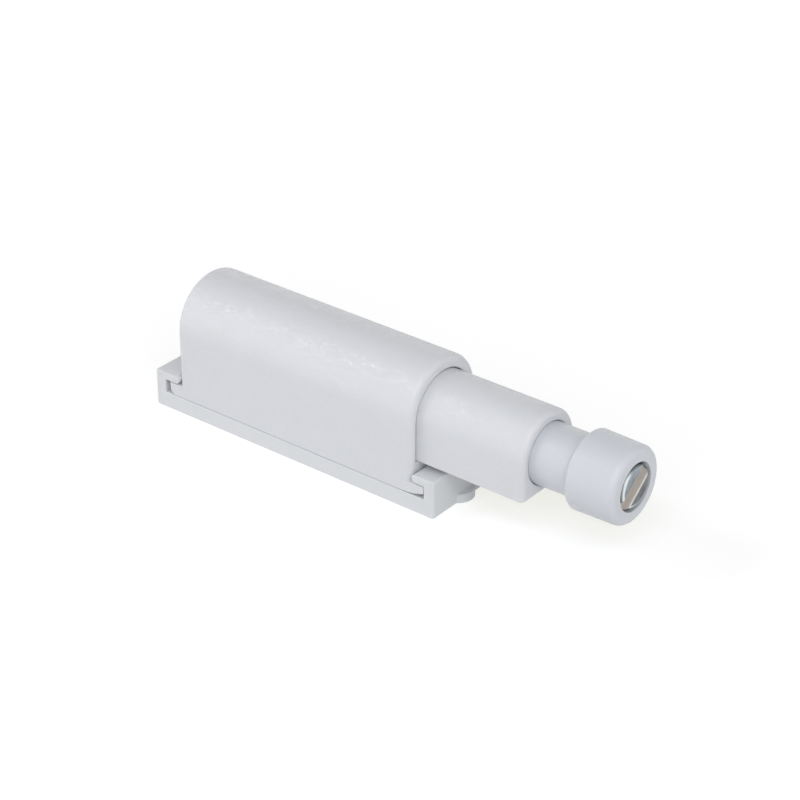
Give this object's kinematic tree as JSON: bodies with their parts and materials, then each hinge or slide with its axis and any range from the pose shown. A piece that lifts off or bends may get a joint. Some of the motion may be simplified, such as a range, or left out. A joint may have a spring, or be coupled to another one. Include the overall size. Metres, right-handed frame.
{
  "type": "touch latch",
  "caption": "Two-stage magnetic touch latch: sprung D-shaped sleeve and round plunger in a D-shaped housing, hooked onto a screw-on mounting plate.",
  "frame": {"origin": "on the panel that the plate is screwed to, midway between the two screw holes", "axes": "+X the way the plunger comes out, +Z away from the panel, +Y towards the closed ends of the hooks' channels"},
  "size_m": [0.0846, 0.0158, 0.022],
  "materials": {
    "moulded_shell": "pale grey, fine spark-eroded texture",
    "moulded_plunger": "pale grey, smoother than the shells",
    "moulded_inner": "natural grey, as moulded",
    "spring_steel": "bright drawn wire and strip",
    "magnet_plating": "nickel plated",
    "pole_plating": "nickel plated, bright"
  },
  "bodies": {
    "plate": {"mounting_plate": "moulded_shell"},
    "housing": {"housing": "moulded_shell", "cam_core": "moulded_inner", "sleeve_spring": "spring_steel"},
    "sleeve": {"sleeve": "moulded_shell", "sleeve_end_ring": "moulded_inner", "plunger_spring": "spring_steel"},
    "plunger": {"plunger": "moulded_plunger", "follower_leaf": "spring_steel"},
    "follower": {"follower_wire": "spring_steel"},
    "cap": {"cap": "moulded_plunger", "magnet": "magnet_plating"},
    "screw": {"pole_screw": "pole_plating", "screw_clip": "spring_steel"}
  },
  "joints": [
    {"name": "housing_slide", "type": "slide", "parent": "plate", "child": "housing", "axis": [0, -1, 0], "range_m": [0, 0.0158]},
    {"name": "sleeve_slide", "type": "slide", "parent": "housing", "child": "sleeve", "axis": [1, 0, 0], "range_m": [-0.0187, 0], "stiffness_N_per_m": 700, "springref_m": 0.003, "deforming": ["sleeve_spring"]},
    {"name": "plunger_slide", "type": "slide", "parent": "sleeve", "child": "plunger", "axis": [1, 0, 0], "range_m": [-0.0064, 0], "stiffness_N_per_m": 110, "springref_m": 0.008, "deforming": ["plunger_spring"]},
    {"name": "follower_swing", "type": "hinge", "parent": "plunger", "child": "follower", "pos_m": [0.0266, 0, 0.0157], "axis": [0, 0, -1], "range_deg": [0, 13.9]},
    {"name": "cap_adjust", "type": "slide", "parent": "plunger", "child": "cap", "axis": [1, 0, 0], "range_m": [0, 0.0025]},
    {"name": "screw_turn", "type": "hinge", "parent": "cap", "child": "screw", "pos_m": [0.0571, 0, 0.01315], "axis": [1, 0, 0], "range_deg": [0, 1800]}
  ],
  "couplings": [
    {"joint": "screw_turn", "follows": "cap_adjust", "rad_per_m": 12566}
  ]
}
